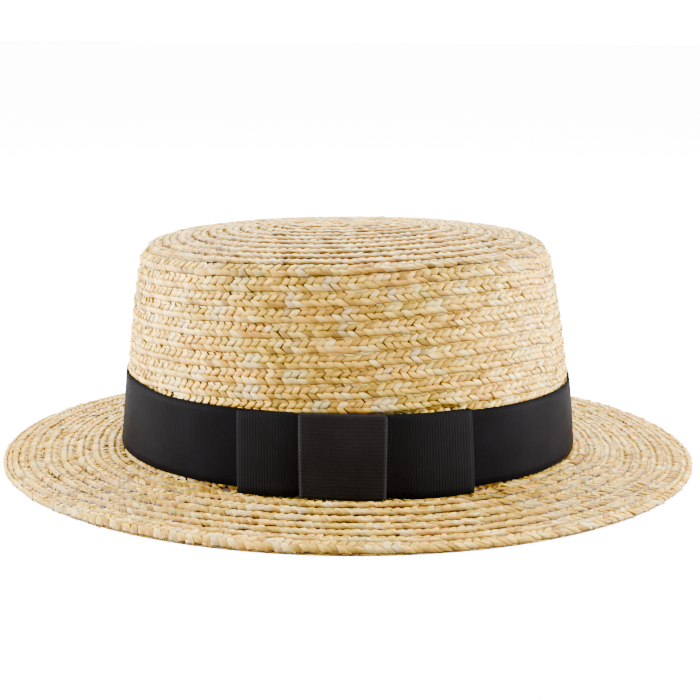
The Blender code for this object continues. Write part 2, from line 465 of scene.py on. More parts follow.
CROWN_PATH = crown_path()
CROWN_RUN = path_length(CROWN_PATH)
BRIM_PATH = [(width * BRIM_WIDTH, -drop * BRIM_DROP) for width, drop in BRIM_SECTION]
BRIM_RUN = path_length(BRIM_PATH)
SEAM = CROWN_RUN - COLLAR_HEIGHT
SHOULDER = path_length(CROWN_PATH[: TIP_STEPS + CORNER_STEPS // 2 + 1])
WALL_TURNS = int((SEAM - SHOULDER) / CROWN_PITCH)
TIP_RUN = SEAM - CROWN_PITCH * WALL_TURNS
EDGE_PATH = BRIM_PATH + [
    (BRIM_WIDTH + RIM_SWELL, -BRIM_DROP - RIM_SWELL_DROP),
    (BRIM_WIDTH, -BRIM_DROP - RIM_OVERHANG),
]


def crown_edge(turns):
    """How far down the crown a row's lower edge lies, after so many turns up from the seam at the bow."""
    even = SEAM - CROWN_PITCH * min(turns, WALL_TURNS) - TIP_PITCH * max(turns - WALL_TURNS, 0)
    sag = read_table(CROWN_DRIFT, turn_of(math.tau * turns - math.pi / 2), 1)
    return even + CROWN_PITCH * sag * clamp(even / DRIFT_FADE)


def brim_edge(turns):
    """How far out a row's outer edge lies, after so many turns in from the edge row at the bow."""
    even = BRIM_RUN - EDGE_ROW - BRIM_PITCH * turns
    turn = turn_of(math.tau * turns - math.pi / 2)
    sag = mix(read_table(BRIM_DRIFT, turn, 1), read_table(BRIM_DRIFT, turn, 2), clamp(even / BRIM_RUN))
    return even + BRIM_PITCH * sag


def crown_spot(turns, across, out):
    """A point of the crown's plait, by turns up from the seam, share across the row and relief."""
    distance = clamp(mix(crown_edge(turns + 1), crown_edge(turns), across), 0.0, CROWN_RUN)
    return hat_point(math.tau * turns - math.pi / 2, *path_point(CROWN_PATH, distance, out))


def brim_place(angle, distance, out):
    """A point of the brim. Inside its root the upper side runs in a little before it climbs the collar."""
    tuck = COLLAR_TUCK if out > SHELL_INSIDE / 2 else 0.0
    if distance < -tuck:
        height = -distance - tuck
        return hat_point(angle, wall_offset(height) + out - tuck, height)
    if distance < 0:
        return hat_point(angle, distance, out)
    lifted = path_point(EDGE_PATH, distance, out)
    return hat_point(angle, *lifted)


def brim_spot(turns, across, out):
    """A point of the brim's plait, by turns in from the edge row. It sinks at the lap and under the bow."""
    distance = mix(brim_edge(turns + 1), brim_edge(turns), across)
    aside = abs(turn_of(math.tau * turns - math.pi / 2) - PRESS_MIDDLE)
    sunk = LAP_SINK * smooth_step(*LAP_SINK_TURNS, -turns)
    sunk += BOW_PRESS * (1 - smooth_step(*PRESS_RUN, distance)) * (1 - smooth_step(*PRESS_DEGREES, aside))
    return brim_place(math.tau * turns - math.pi / 2, distance, out - sunk)


def edge_row_top(turns):
    """Where the edge row comes out from under the row above, with a long overlap at the back of the hat."""
    wrapped = smooth_step(*LAP_TURNS, turns)
    return mix(brim_edge(min(turns, LAP_TURNS[1])), brim_edge(turns - 1), wrapped)


def edge_spot(turns, across, out):
    """The edge row, which ends at the rim. Its cut end lies on top of where it began."""
    lift = PLAIT_LIFT * (1 - smooth_step(PLAIT_END, PLAIT_END + PLAIT_LIFT_TURNS, turns))
    distance = mix(edge_row_top(turns) - EDGE_TUCK, BRIM_RUN + EDGE_REACH, across)
    return brim_place(math.tau * turns - math.pi / 2, distance, out + lift)


def rim_spot(turns, across, out):
    """The fold of the edge row's splints, down over the rim."""
    return brim_place(math.tau * turns - math.pi / 2, BRIM_RUN + RIM_OVERHANG * across, out)


def crown_inner_spot(turns, across, out):
    return crown_spot(turns, across, SHELL_INSIDE - out)


def brim_inner_spot(turns, across, out):
    distance = mix(brim_edge(turns + 1), brim_edge(turns), across)
    return brim_place(math.tau * turns - math.pi / 2, distance, SHELL_INSIDE - out)


# Materials

def linear(colour):
    """An sRGB hex colour as linear RGBA."""
    parts = [int(colour[i : i + 2], 16) / 255 for i in (1, 3, 5)]
    return [c / 12.92 if c <= 0.04045 else ((c + 0.055) / 1.055) ** 2.4 for c in parts] + [1.0]


def add_node(tree, kind, settings=None, inputs=None, links=None):
    """One node with its settings, its plain inputs and its links from other nodes' outputs."""
    node = tree.nodes.new(kind)
    for name, value in (settings or {}).items():
        setattr(node, name, value)
    for name, value in (inputs or {}).items():
        node.inputs[name].default_value = value
    for name, source in (links or {}).items():
        tree.links.new(source, node.inputs[name])
    return node


def new_material(name):
    made = bpy.data.materials.new(name)
    made.use_nodes = True
    return made, made.node_tree, made.node_tree.nodes["Principled BSDF"]


def ramp(tree, source, stops):
    node = add_node(tree, "ShaderNodeValToRGB", links={"Fac": source})
    elements = node.color_ramp.elements
    while len(elements) < len(stops):
        elements.new(0.5)
    for element, (place, colour) in zip(elements, stops):
        element.position = place
        element.color = linear(colour)
    return node.outputs["Color"]


def stretch(tree, source, low, high):
    """A smooth step from 0 at the low value to 1 at the high one."""
    settings = {"interpolation_type": "SMOOTHSTEP"}
    limits = {"From Min": low, "From Max": high}
    return add_node(tree, "ShaderNodeMapRange", settings, limits, {"Value": source}).outputs["Result"]


def blend_colour(tree, kind, factor, under, over):
    settings = {"data_type": "RGBA", "blend_type": kind}
    node = add_node(tree, "ShaderNodeMix", settings)
    for socket, value in (("Factor_Float", factor), ("A_Color", under), ("B_Color", over)):
        target = next(s for s in node.inputs if s.identifier == socket)
        if isinstance(value, bpy.types.NodeSocket):
            tree.links.new(value, target)
        else:
            target.default_value = value
    return next(s for s in node.outputs if s.identifier == "Result_Color")


def wheat_straw(name, gold_stops):
    """Split wheat straw, flattened and plaited: satin, streaked along its fibre, each splint its own gold."""
    made, tree, shader = new_material(name)
    tone = add_node(tree, "ShaderNodeAttribute", {"attribute_name": "tone"}).outputs["Fac"]
    along = add_node(tree, "ShaderNodeAttribute", {"attribute_name": "along"}).outputs["Fac"]
    lay = add_node(tree, "ShaderNodeAttribute", {"attribute_name": "fibre"}).outputs["Vector"]
    colour = ramp(tree, tone, gold_stops)

    # Runs of pale, pearly splints one to three centimetres long, where a bleached straw was worked in
    runs = add_node(
        tree, "ShaderNodeTexNoise", {"noise_dimensions": "1D"}, {"Scale": 75.0, "Detail": 2.0}, {"W": along}
    )
    pale = stretch(tree, runs.outputs["Fac"], 0.58, 0.68)
    pale = add_node(tree, "ShaderNodeMath", {"operation": "MULTIPLY"}, {1: 0.45}, {0: pale}).outputs[0]
    colour = blend_colour(tree, "MIX", pale, colour, linear(PEARL))

    # Slower drifts of hue along the plait: green-grey where straw was cut unripe, pink where it weathered
    drift = add_node(
        tree, "ShaderNodeTexNoise", {"noise_dimensions": "1D"}, {"Scale": 31.0, "Detail": 1.0}, {"W": along}
    )
    hue = ramp(tree, drift.outputs["Fac"], ((0.30, "#dfe6bc"), (0.50, "#ffffff"), (0.72, "#ffecdf")))
    colour = blend_colour(tree, "MULTIPLY", 0.6, colour, hue)

    # Rust-brown stains a few millimetres long
    place = add_node(tree, "ShaderNodeTexCoord").outputs["Object"]
    spots = add_node(tree, "ShaderNodeTexNoise", {}, {"Scale": 95.0, "Detail": 3.0}, {"Vector": place})
    stained = stretch(tree, spots.outputs["Fac"], 0.66, 0.76)
    stained = add_node(tree, "ShaderNodeMath", {"operation": "MULTIPLY"}, {1: 0.7}, {0: stained}).outputs[0]
    colour = blend_colour(tree, "MULTIPLY", stained, colour, linear(STAIN))

    # Fibres: streaks about 0.2 mm wide along each splint, and other ones on the next
    own = add_node(tree, "ShaderNodeCombineXYZ", {}, {}, {"Z": tone})
    grain = add_node(
        tree, "ShaderNodeVectorMath", {"operation": "MULTIPLY"}, {1: (0.9, 4.5, 0.0)}, {0: lay}
    )
    apart = add_node(
        tree,
        "ShaderNodeVectorMath",
        {"operation": "MULTIPLY_ADD"},
        {1: (0.0, 0.0, 97.0)},
        {0: own.outputs[0], 2: grain.outputs[0]},
    )
    streaks = add_node(
        tree, "ShaderNodeTexNoise", {}, {"Scale": 1.0, "Detail": 3.0}, {"Vector": apart.outputs[0]}
    )
    streak = ramp(tree, streaks.outputs["Fac"], ((0.30, "#bda878"), (0.52, "#ffffff")))
    colour = blend_colour(tree, "MULTIPLY", 0.65, colour, streak)

    # Painted shade at each splint's borders: darker along its sides, darkest at the ends that are tucked away
    sides = add_node(tree, "ShaderNodeVectorMath", {"operation": "ABSOLUTE"}, {}, {0: lay})
    parts = add_node(tree, "ShaderNodeSeparateXYZ", {}, {}, {"Vector": sides.outputs[0]})
    side = stretch(tree, parts.outputs["Y"], 0.86, 1.0)
    end = stretch(tree, parts.outputs["X"], 0.84, 1.0)
    colour = blend_colour(tree, "MULTIPLY", side, colour, linear(SIDE_PAINTED_SHADE))
    colour = blend_colour(tree, "MULTIPLY", end, colour, linear(END_PAINTED_SHADE))

    # Each splint is shaded where it dives under its neighbour
    tail = add_node(tree, "ShaderNodeSeparateXYZ", {}, {}, {"Vector": lay})
    dive = ramp(tree, stretch(tree, tail.outputs["X"], -1.0, 0.3), ((0.0, "#a2967a"), (1.0, "#ffffff")))
    colour = blend_colour(tree, "MULTIPLY", 0.9, colour, dive)
    tree.links.new(colour, shader.inputs["Base Color"])
    shader.inputs["Roughness"].default_value = 0.46
    shader.inputs["IOR"].default_value = 1.45
    shader.inputs["Specular IOR Level"].default_value = 0.13
    raised = {"Height": streaks.outputs["Fac"]}
    bump = add_node(tree, "ShaderNodeBump", {}, {"Strength": 0.35, "Distance": 0.00012}, raised)
    tree.links.new(bump.outputs["Normal"], shader.inputs["Normal"])
    return made


def painted_shade_backing(name):
    """The plait's covered layers, seen only in the gaps between splints: dull, and painted dark brown for the
    shade that fills those gaps.
    """
    made, tree, shader = new_material(name)
    place = add_node(tree, "ShaderNodeTexCoord").outputs["Object"]
    grain = add_node(tree, "ShaderNodeTexNoise", {}, {"Scale": 400.0, "Detail": 3.0}, {"Vector": place})
    colour = ramp(tree, grain.outputs["Fac"], ((0.3, "#2e1c0a"), (0.7, "#5c3d1a")))
    tree.links.new(colour, shader.inputs["Base Color"])
    shader.inputs["Roughness"].default_value = 0.8
    return made


def grosgrain(name, ribs, depth, colour, lighter):
    """Black rayon grosgrain: close ribs across the ribbon and a faint grey sheen at grazing angles."""
    made, tree, shader = new_material(name)
    place = add_node(tree, "ShaderNodeAttribute", {"attribute_name": "cloth"}).outputs["Vector"]
    split = add_node(tree, "ShaderNodeSeparateXYZ", {}, {}, {"Vector": place})
    turns = add_node(
        tree, "ShaderNodeMath", {"operation": "MULTIPLY"}, {1: math.tau / ribs}, {0: split.outputs["X"]}
    )
    wave = add_node(tree, "ShaderNodeMath", {"operation": "SINE"}, {}, {0: turns.outputs[0]})
    weave = add_node(tree, "ShaderNodeTexNoise", {}, {"Scale": 2500.0, "Detail": 2.0}, {"Vector": place})
    clouds = add_node(tree, "ShaderNodeTexNoise", {}, {"Scale": 60.0, "Detail": 2.0}, {"Vector": place})
    tint = ramp(tree, clouds.outputs["Fac"], ((0.3, colour), (0.7, lighter)))
    rib_shade = add_node(
        tree,
        "ShaderNodeMapRange",
        {},
        {"From Min": -1.0, "From Max": 1.0, "To Min": 1 - depth / 2, "To Max": 1.0},
        {"Value": wave.outputs[0]},
    )
    tint = blend_colour(tree, "MULTIPLY", 1.0, tint, rib_shade.outputs["Result"])
    tree.links.new(tint, shader.inputs["Base Color"])
    shader.inputs["Roughness"].default_value = 0.62
    shader.inputs["Specular IOR Level"].default_value = 0.01
    shader.inputs["Sheen Weight"].default_value = 0.003
    shader.inputs["Sheen Roughness"].default_value = 0.4
    shader.inputs["Sheen Tint"].default_value = linear("#cfc6d4")
    relief = add_node(
        tree,
        "ShaderNodeMath",
        {"operation": "MULTIPLY_ADD"},
        {1: 0.25},
        {0: weave.outputs["Fac"], 2: wave.outputs[0]},
    )
    bump = add_node(
        tree, "ShaderNodeBump", {}, {"Strength": depth, "Distance": 0.0001}, {"Height": relief.outputs[0]}
    )
    tree.links.new(bump.outputs["Normal"], shader.inputs["Normal"])
    return made


# Splints by Geometry Nodes

def splint_mesh(kind, lean, rise, breadth, height, lift, outline):
    """What shows of a splint between two crossings: a slanted patch, its sides and its ends tucked under."""
    stations, section = OUTLINES[outline], SECTIONS[outline]
    slope = 1 / math.tan(math.radians(lean))
    places, lays = [], []
    for share, wide, high in stations:
        for lane, drop in section:
            up = share * rise
            side = lane * wide
            places.append((up * slope + side * breadth / 2, up, height * (high + drop) + lift * side))
            lays.append((FIBRE_RUN[outline] * share, lane, 0.0))
    count = len(section)
    faces = []
    for i in range(len(stations) - 1):
        for j in range(count - 1):
            first = i * count + j
            faces.append((first, first + 1, first + count + 1, first + count))
    mesh = bpy.data.meshes.new(kind)
    mesh.from_pydata(places, [], faces)
    lay = mesh.attributes.new("fibre", "FLOAT_VECTOR", "POINT")
    lay.data.foreach_set("vector", [value for place in lays for value in place])
    mesh.shade_smooth()
    mesh.set_sharp_from_angle(angle=math.radians(SHARP_TURN))
    return bpy.data.objects.new(kind, mesh)


def splint_tree():
    """Lays one splint at each point of a row, turned to the row, leant, and varied a little."""
    tree = bpy.data.node_groups.new("splints_in_rows", "GeometryNodeTree")
    face = tree.interface
    face.new_socket("Geometry", in_out="INPUT", socket_type="NodeSocketGeometry")
    for name, kind in (
        ("Splints", "NodeSocketCollection"),
        ("Sway", "NodeSocketFloat"),
        ("Wander", "NodeSocketFloat"),
        ("Unevenness", "NodeSocketFloat"),
        ("Seed", "NodeSocketInt"),
        ("Straw", "NodeSocketMaterial"),
    ):
        face.new_socket(name, in_out="INPUT", socket_type=kind)
    face.new_socket("Geometry", in_out="OUTPUT", socket_type="NodeSocketGeometry")
    given = add_node(tree, "NodeGroupInput").outputs

    def stored(name, kind="FLOAT_VECTOR"):
        node = add_node(tree, "GeometryNodeInputNamedAttribute", {"data_type": kind}, {"Name": name})
        return node.outputs["Attribute"]

    def chance(salt, low=(0.0, 0.0, 0.0), high=(1.0, 1.0, 1.0)):
        seed = add_node(tree, "ShaderNodeMath", {"operation": "ADD"}, {1: salt}, {0: given["Seed"]})
        settings = {"data_type": "FLOAT_VECTOR"}
        values = {"Min": low, "Max": high}
        links = {"Seed": seed.outputs[0]}
        return add_node(tree, "FunctionNodeRandomValue", settings, values, links).outputs[0]

    def scaled(vector, factor):
        links = {0: vector, "Scale": factor}
        return add_node(tree, "ShaderNodeVectorMath", {"operation": "SCALE"}, {}, links).outputs[0]

    facing = add_node(
        tree,
        "FunctionNodeAxesToRotation",
        {"primary_axis": "Z", "secondary_axis": "X"},
        {},
        {"Primary Axis": stored("facing"), "Secondary Axis": stored("heading")},
    )
    swayed = scaled(chance(1, (-1.1, -1.1, -0.9), (1.1, 1.1, 0.9)), given["Sway"])
    lean = add_node(tree, "FunctionNodeEulerToRotation", {}, {}, {"Euler": swayed})
    turned = add_node(
        tree,
        "FunctionNodeRotateRotation",
        {"rotation_space": "LOCAL"},
        {},
        {"Rotation": facing.outputs[0], "Rotate By": lean.outputs[0]},
    )
    uneven = scaled(chance(2, (-0.5, -0.5, -0.5), (0.5, 0.5, 0.5)), given["Unevenness"])
    uneven = add_node(tree, "ShaderNodeVectorMath", {"operation": "ADD"}, {1: (1.0, 1.0, 1.0)}, {0: uneven})
    factors = {0: stored("size"), 1: uneven.outputs[0]}
    size = add_node(tree, "ShaderNodeVectorMath", {"operation": "MULTIPLY"}, {}, factors)
    moved = scaled(chance(3, (-1.0, -1.0, -1.0)), given["Wander"])
    placed = {"Geometry": given["Geometry"], "Offset": moved}
    spread = add_node(tree, "GeometryNodeSetPosition", {}, {}, placed)
    shapes = add_node(
        tree,
        "GeometryNodeCollectionInfo",
        {},
        {"Separate Children": True, "Reset Children": True},
        {"Collection": given["Splints"]},
    )
    laid = add_node(
        tree,
        "GeometryNodeInstanceOnPoints",
        {},
        {"Pick Instance": True},
        {
            "Points": spread.outputs[0],
            "Instance": shapes.outputs[0],
            "Instance Index": stored("kind", "INT"),
            "Rotation": turned.outputs[0],
            "Scale": size.outputs[0],
        },
    )
    shade = add_node(tree, "ShaderNodeSeparateXYZ", {}, {}, {"Vector": chance(5)})
    toned = add_node(
        tree,
        "GeometryNodeStoreNamedAttribute",
        {"data_type": "FLOAT", "domain": "INSTANCE"},
        {"Name": "tone"},
        {"Geometry": laid.outputs[0], "Value": shade.outputs["X"]},
    )
    real = add_node(tree, "GeometryNodeRealizeInstances", {}, {}, {"Geometry": toned.outputs[0]})
    bare = real
    for name in ("facing", "heading", "size", "kind"):
        bare = add_node(
            tree, "GeometryNodeRemoveAttribute", {}, {"Name": name}, {"Geometry": bare.outputs[0]}
        )
    made = add_node(
        tree, "GeometryNodeSetMaterial", {}, {}, {"Geometry": bare.outputs[0], "Material": given["Straw"]}
    )
    add_node(tree, "NodeGroupOutput", {}, {}, {"Geometry": made.outputs[0]})
    return tree


def row_points(spot, turns, splints, side, low, high):
    """A point for each splint over a stretch of turns: place, facing, heading, size, run along and kind."""
    first, last = turns
    step = 1 / TURN_STEPS
    along = [0.0]
    count = math.ceil((last - first) * TURN_STEPS)
    for i in range(count):
        near, far = (spot(first + step * j, 0.5, 0.0) for j in (i, i + 1))
        along.append(along[-1] + (far - near).length)
    kinds = [shape[0] for shape in SPLINT_SHAPES]
    points = []
    for kind, across, shift in splints:
        upper, lower = across - ACROSS_STEP, across + ACROSS_STEP
        lie, upper_lie, lower_lie = (mix(low, high, share) for share in (across, upper, lower))
        wanted = SPLINT_SPACING / 2 + shift
        i = 0
        while wanted < along[-1]:
            while along[i + 1] < wanted:
                i += 1
            turn = first + step * (i + (wanted - along[i]) / (along[i + 1] - along[i]))
            heading = (spot(turn + step / 4, across, lie) - spot(turn - step / 4, across, lie)).normalized()
            slant = spot(turn, upper, upper_lie) - spot(turn, lower, lower_lie)
            facing = heading.cross(slant).normalized() * side
            breadth = (spot(turn, 1.0, 0.0) - spot(turn, 0.0, 0.0)).length
            size = (1.0, clamp(breadth / CROWN_PITCH, ROW_SQUEEZE, ROW_STRETCH), 1.0)
            place = spot(turn, across, lie)
            counted = wanted + START_SHIFT * first
            points.append((place, facing, heading, size, counted, kinds.index(kind)))
            wanted += SPLINT_SPACING
    return points


def lay_splints(name, points, shapes, tree, straw, seed, sway):
    """Runs the tree on a set of points and keeps the result as a plain mesh."""
    mesh = bpy.data.meshes.new(name + "_points")
    mesh.from_pydata([point[0] for point in points], [], [])
    for label, kind, key, column in (
        ("facing", "FLOAT_VECTOR", "vector", 1),
        ("heading", "FLOAT_VECTOR", "vector", 2),
        ("size", "FLOAT_VECTOR", "vector", 3),
        ("along", "FLOAT", "value", 4),
        ("kind", "INT", "value", 5),
    ):
        values = [point[column] for point in points]
        if key == "vector":
            values = [part for value in values for part in value]
        mesh.attributes.new(label, kind, "POINT").data.foreach_set(key, values)
    guide = bpy.data.objects.new(name + "_points", mesh)
    bpy.context.scene.collection.objects.link(guide)
    rows = guide.modifiers.new("splints", "NODES")
    rows.node_group = tree
    chosen = {
        "Splints": shapes,
        "Sway": sway,
        "Wander": WANDER,
        "Unevenness": UNEVENNESS,
        "Seed": seed,
        "Straw": straw,
    }
    for item in tree.interface.items_tree:
        if item.in_out == "INPUT" and item.name in chosen:
            rows[item.identifier] = chosen[item.name]
    graph = bpy.context.evaluated_depsgraph_get()
    made = bpy.data.meshes.new_from_object(guide.evaluated_get(graph))
    bpy.data.objects.remove(guide)
    made.name = name
    piece = bpy.data.objects.new(name, made)
    bpy.context.scene.collection.objects.link(piece)
    return piece


# Shells and cloth

def loft(name, rings, material, closed=False, cloth=None):
    """Skins a row of rings into one closed body, joined end to end or else with a cap at each end."""
    count = len(rings[0])
    places = [tuple(point) for ring in rings for point in ring]
    faces = []
    pairs = [(i, i + 1) for i in range(len(rings) - 1)]
    if closed:
        pairs.append((len(rings) - 1, 0))
    for near, far in pairs:
        for i in range(count):
            j = (i + 1) % count
            faces.append((near * count + i, near * count + j, far * count + j, far * count + i))
    if not closed:
        faces.append(tuple(range(count))[::-1])
        faces.append(tuple((len(rings) - 1) * count + i for i in range(count)))
    mesh = bpy.data.meshes.new(name)
    mesh.from_pydata(places, [], faces)
    if cloth:
        values = [part for ring in cloth for place in ring for part in place]
        mesh.attributes.new("cloth", "FLOAT_VECTOR", "POINT").data.foreach_set("vector", values)
    mesh.materials.append(material)
    mesh.shade_smooth()
    piece = bpy.data.objects.new(name, mesh)
    bpy.context.scene.collection.objects.link(piece)
    return piece


def hat_ring(offset, height):
    return [hat_point(math.tau * i / RING_SIDES, offset, height) for i in range(RING_SIDES)]


def crown_shell(material):
    """The crown's hidden layer under the splints: a smooth cup from the seam over the corner to the tip."""
    steps = CROWN_SHELL_STEPS
    stops = [SHELL_POLE] + [mix(SHELL_START, SEAM, i / steps) for i in range(steps + 1)]
    outer = [hat_ring(*path_point(CROWN_PATH, stop, -SHELL_DEPTH)) for stop in stops]
    inner = [hat_ring(*path_point(CROWN_PATH, stop, SHELL_INSIDE)) for stop in reversed(stops)]
    return loft("crown_shell", outer + inner, material)


def brim_shell(material):
    """The brim's hidden layer, from the collar under the crown's wall to the rim."""
    steps = BRIM_SHELL_STEPS
    stops = [mix(SHELL_CORNER, BRIM_RUN - RIM_INSET, i / steps) for i in range(steps + 1)]
    collar = COLLAR_HEIGHT - SHELL_GAP
    outer = [hat_ring(wall_offset(collar) - SHELL_DEPTH, collar), hat_ring(-SHELL_DEPTH, -SHELL_DEPTH)]
    outer += [hat_ring(*path_point(BRIM_PATH, stop, -SHELL_DEPTH)) for stop in stops]
    rim, foot = BRIM_WIDTH - RIM_INSET, -ROOT_HEIGHT + SHELL_GAP
    outer += [hat_ring(rim, foot), hat_ring(rim - SHELL_CORNER, foot)]
    inner = [hat_ring(*path_point(BRIM_PATH, stop, SHELL_INSIDE)) for stop in reversed(stops[:-1])]
    inner += [hat_ring(SHELL_INSIDE, SHELL_INSIDE), hat_ring(wall_offset(collar) + SHELL_INSIDE, collar)]
    return loft("brim_shell", outer + inner, material, closed=True)


def ribbon(material):
    """The ribbon drawn round the foot of the wall, standing off a little at its lower edge."""
    rings, cloth = [], []
    shares = [i / CLOTH_STEPS for i in range(CLOTH_STEPS + 1)]
    section = [(share, 1) for share in shares] + [(share, 0) for share in reversed(shares)]
    for share, face in section:
        ring, marks = [], []
        for i in range(BAND_SIDES):
            angle = math.tau * i / BAND_SIDES
            turn = turn_of(angle)
            top = RIBBON_LIFT + RIBBON_WIDTH + read_table(RIBBON_RIDE, turn, 1)
            height = mix(RIBBON_LIFT + read_table(RIBBON_RIDE, turn, 2), top, share)
            flare = RIBBON_FLARE * (1 - share) ** 2 * max(0.0, -math.cos(angle)) ** 2
            edge = SOFT_EDGE * (share in (0, 1))
            out = RIBBON_OUTER - CLOTH * (1 - face) - edge * face + edge * (1 - face) + flare
            ring.append(hat_point(angle, wall_offset(height) + out, height))
            marks.append((angle * RIBBON_RADIUS, share * RIBBON_WIDTH, BAND_PLY))
        rings.append(ring)
        cloth.append(marks)
    return loft("ribbon_band", rings, material, closed=True, cloth=cloth)


def bow_point(x, height, out):
    """A point in front of the wall at -Y, from its place along the wall, its height and its stand-off."""
    low, high = bow_heights()
    leant = BOW_LEAN * (1 - clamp((height - low) / (high - low))) ** 2
    across = abs(x) / (CROWN_LENGTH / 2 + leant)
    turn = math.acos(across ** (CROWN_SQUARENESS / 2))
    angle = -turn if x > 0 else turn - math.pi
    knot_end = BOW_MIDDLE + KNOT_WIDTH / 2
    sagged = BOW_SAG * smooth_step(knot_end - KNOT_WIDTH, knot_end, x)
    sagged *= 1 - SAG_REGAINED * smooth_step(knot_end + BACK_LOOP / 3, knot_end + BACK_LOOP, x)
    return hat_point(angle, wall_offset(height) + out + leant, height - sagged)


def bow_heights():
    bottom = RIBBON_LIFT - BOW_DROP
    return bottom, bottom + BOW_RIBBON_WIDTH


def loop_outline(inset):
    """The flattened ring of ribbon from above, drawn in by an inset: place along the wall and stand-off."""
    radius = (LOOPS_FRONT - LOOPS_BACK) / 2
    middle = (LOOPS_FRONT + LOOPS_BACK) / 2
    first = BOW_MIDDLE - KNOT_WIDTH / 2 - FRONT_LOOP + radius * FOLD_BULGE
    last = BOW_MIDDLE + KNOT_WIDTH / 2 + BACK_LOOP - radius * FOLD_BULGE
    flat = [mix(first, last, i / LOOP_STEPS) for i in range(LOOP_STEPS + 1)]
    turns = [math.pi * (i / CLOTH_STEPS - 0.5) for i in range(1, CLOTH_STEPS)]
    reach = radius - inset

    def pressed(x):
        """How far the knot presses the front layer back, less and less over the first third of a loop."""
        near = BOW_MIDDLE - KNOT_WIDTH / 2 if x < BOW_MIDDLE else BOW_MIDDLE + KNOT_WIDTH / 2
        end = first if x < BOW_MIDDLE else last
        share = clamp((x - near) / (end - near))
        return LOOP_PRESS * (1 - smooth_step(0.0, LOOP_PRESS_SHARE, share))

    outline = [(x, LOOPS_BACK + inset) for x in flat]
    bulge = radius * FOLD_BULGE - inset
    outline += [(last + bulge * math.cos(turn), middle + reach * math.sin(turn)) for turn in turns]
    outline += [(x, LOOPS_FRONT - inset - pressed(x)) for x in reversed(flat)]
    outline += [(first - bulge * math.cos(turn), middle - reach * math.sin(turn)) for turn in turns]
    return outline


def bow_loops(material):
    """The ribbon folded to two loops, a little narrower where the knot gathers it."""
    bottom, top = bow_heights()
    outlines = loop_outline(0.0), loop_outline(CLOTH)
    rings, cloth = [], []
    shares = [i / CLOTH_STEPS for i in range(CLOTH_STEPS + 1)]
    for outline, order in ((outlines[0], shares), (outlines[1], shares[::-1])):
        lengths = [0.0]
        for near, far in zip(outline, outline[1:]):
            lengths.append(lengths[-1] + math.dist(near, far))
        for share in order:
            past = [abs(x - BOW_MIDDLE) - KNOT_WIDTH / 2 + PINCH_TUCK for x, out in outline]
            pinch = [KNOT_PINCH * (1 - smooth_step(0.0, PINCH_RUN, run)) for run in past]
            rings.append(
                [bow_point(x, mix(bottom + p, top - p, share), out) for (x, out), p in zip(outline, pinch)]
            )
            cloth.append([(length, share * BOW_RIBBON_WIDTH, LOOP_PLY) for length in lengths])
    return loft("bow_loops_ribbon", rings, material, closed=True, cloth=cloth)


def bow_knot(material):
    """The short ribbon wrapped over the front, the top and the bottom of the loops."""
    bottom, top = bow_heights()
    stations = list(KNOT_SECTION)
    faces = KNOT_FACE_STEPS
    stations += [(1.0, mix(KNOT_FACE, 1 - KNOT_FACE, i / faces)) for i in range(faces + 1)]
    stations += [(deep, 1 - high) for deep, high in reversed(KNOT_SECTION)]
    run = [0.0]
    for (d0, h0), (d1, h1) in zip(stations, stations[1:]):
        run.append(run[-1] + math.hypot((d1 - d0) * (KNOT_FRONT - LOOPS_BACK), (h1 - h0) * BOW_RIBBON_WIDTH))

    def section(inset):
        for (deep, high), length in zip(stations, run):
            crowned = KNOT_CROWN * math.sin(math.pi * high) if deep == 1.0 else 0.0
            out = LOOPS_BACK + deep * (KNOT_FRONT - LOOPS_BACK - inset) + crowned
            yield out, mix(bottom + inset, top - inset, high), high, length

    outline = list(section(0.0)) + list(section(CLOTH))[::-1]
    rings, cloth = [], []
    for i in range(KNOT_STEPS + 1):
        share = i / KNOT_STEPS
        front = BOW_MIDDLE - KNOT_WIDTH / 2
        ring, marks = [], []
        for out, height, high, length in outline:
            back = BOW_MIDDLE + KNOT_WIDTH / 2 - KNOT_SLANT * (1 - high)
            rolled = KNOT_ROLL * (2 * share - 1) ** 8
            ring.append(bow_point(mix(front, back, share), height, out - rolled))
            marks.append((length, share * KNOT_WIDTH, KNOT_PLY))
        rings.append(ring)
        cloth.append(marks)
    return loft("bow_knot_ribbon", rings, material, cloth=cloth)


def ribbon_girth():
    """Once round the outside of the band, halfway up it."""
    ring = [hat_point(math.tau * i / 360, RIBBON_OUTER, RIBBON_WIDTH / 2) for i in range(361)]
    return sum(math.dist(near, far) for near, far in zip(ring, ring[1:]))


def keep(piece, slot, *nodes):
    """Makes a piece ride with the hat and stand for the nodes named, which it hides. The slot is not used."""
    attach(piece, "root")
    if nodes:
        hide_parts(*nodes)
    return piece


# Studio

